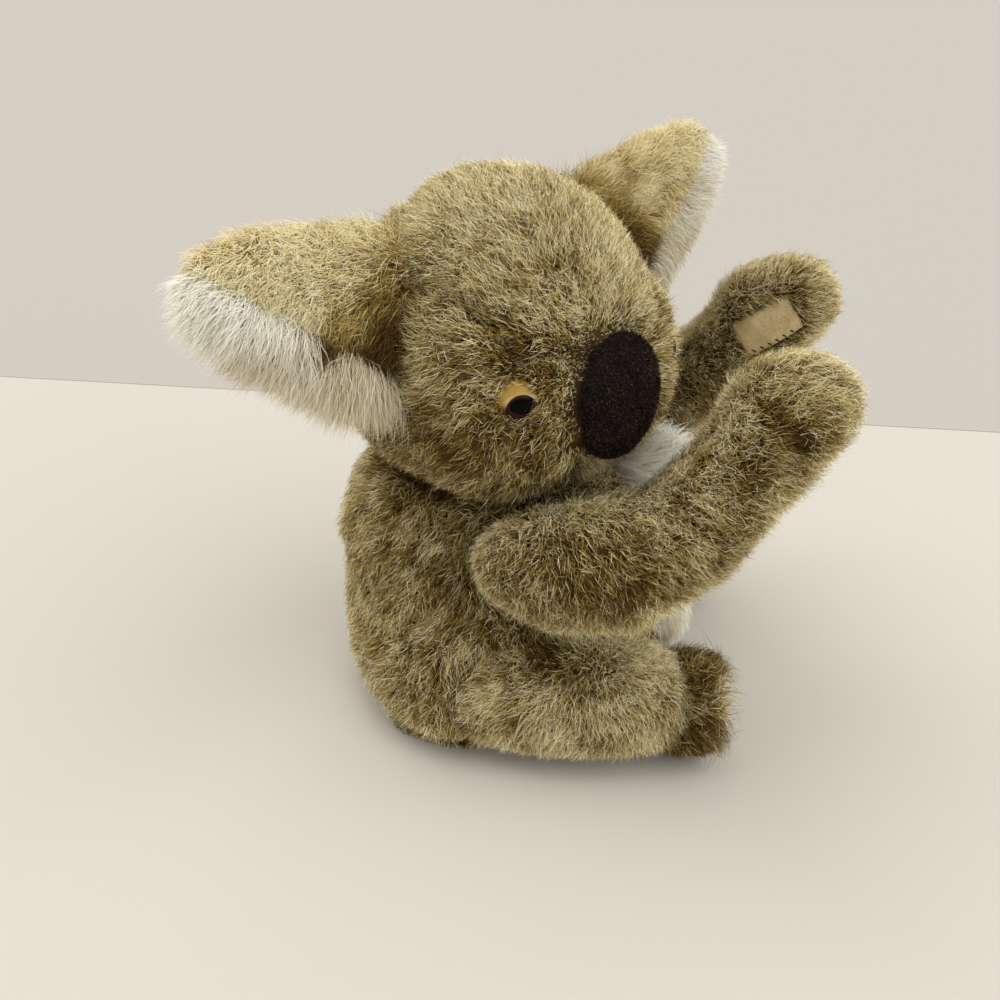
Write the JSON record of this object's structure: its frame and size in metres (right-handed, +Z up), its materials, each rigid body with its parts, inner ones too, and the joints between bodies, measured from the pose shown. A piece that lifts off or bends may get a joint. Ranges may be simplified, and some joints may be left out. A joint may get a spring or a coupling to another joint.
{
  "type": "plush koala",
  "caption": "Seated plush koala with a head that turns, raised arms that swivel at the shoulders, white-lined ears and short sewn legs.",
  "frame": {"origin": "on the flat underside of the seat, straight below the axis that the head turns about", "axes": "+Z up along the neck axis, -Y the way the body faces, +X to the koala's own left"},
  "size_m": [0.1689, 0.2182, 0.2088],
  "materials": {
    "grey_plush": "long agouti plush pile, dark at the root and pale at the tip",
    "white_plush": "long white plush pile",
    "dark_plush": "shorter, darker plush pile",
    "nose_plush": "short dense dark brown pile",
    "suede": "short napped tan suede cloth",
    "stuffing": "white polyester fibre",
    "eye_plastic": "polished amber plastic with a black pupil",
    "lock_plastic": "moulded natural plastic",
    "disc_board": "pressed hardboard"
  },
  "bodies": {
    "torso": {"body_side_right": "grey_plush", "body_side_left": "grey_plush", "body_belly_panel": "white_plush", "body_seat_panel": "grey_plush", "body_stuffing": "stuffing", "neck_disc_lower": "disc_board", "shoulder_disc_inner_right": "disc_board", "shoulder_disc_inner_left": "disc_board"},
    "head": {"head_side_right": "grey_plush", "eye_right": "eye_plastic", "eye_washer_right": "lock_plastic", "head_side_left": "grey_plush", "eye_left": "eye_plastic", "eye_washer_left": "lock_plastic", "head_gusset": "grey_plush", "head_chin_panel": "white_plush", "head_stuffing": "stuffing", "nose_cover": "nose_plush", "nose_padding": "stuffing", "ear_lining_right": "white_plush", "ear_back_right": "grey_plush", "ear_lining_left": "white_plush", "ear_back_left": "grey_plush", "neck_disc_upper": "disc_board", "neck_lock_nut": "lock_plastic"},
    "arm_right": {"arm_outer_right": "grey_plush", "arm_inner_right": "grey_plush", "paw_pad_right": "suede", "arm_stuffing_right": "stuffing", "shoulder_disc_outer_right": "disc_board", "shoulder_lock_nut_right": "lock_plastic"},
    "arm_left": {"arm_outer_left": "grey_plush", "arm_inner_left": "grey_plush", "paw_pad_left": "suede", "arm_stuffing_left": "stuffing", "shoulder_disc_outer_left": "disc_board", "shoulder_lock_nut_left": "lock_plastic"},
    "leg_right": {"leg_outer_right": "grey_plush", "leg_inner_right": "grey_plush", "leg_stuffing_right": "stuffing", "foot_cover_right": "dark_plush", "foot_sole_right": "suede", "foot_stuffing_right": "stuffing"},
    "leg_left": {"leg_outer_left": "grey_plush", "leg_inner_left": "grey_plush", "leg_stuffing_left": "stuffing", "foot_cover_left": "dark_plush", "foot_sole_left": "suede", "foot_stuffing_left": "stuffing"}
  },
  "joints": [
    {"name": "head_turn", "type": "hinge", "parent": "torso", "child": "head", "pos_m": [0, 0, 0.103], "axis": [0, 0, 1], "range_deg": [-15, 105]},
    {"name": "shoulder_right", "type": "hinge", "parent": "torso", "child": "arm_right", "pos_m": [-0.047, -0.022, 0.087], "axis": [1, 0, 0], "range_deg": [0, 40]},
    {"name": "shoulder_left", "type": "hinge", "parent": "torso", "child": "arm_left", "pos_m": [0.047, -0.022, 0.087], "axis": [1, 0, 0], "range_deg": [-5, 40]},
    {"name": "hip_right", "type": "hinge", "parent": "torso", "child": "leg_right", "pos_m": [-0.058, 0.02, 0.022], "axis": [0, 0, -1], "range_deg": [0, 25], "stiffness_Nm_per_rad": 0.1},
    {"name": "hip_left", "type": "hinge", "parent": "torso", "child": "leg_left", "pos_m": [0.058, 0.02, 0.022], "axis": [0, 0, 1], "range_deg": [0, 25], "stiffness_Nm_per_rad": 0.1}
  ]
}
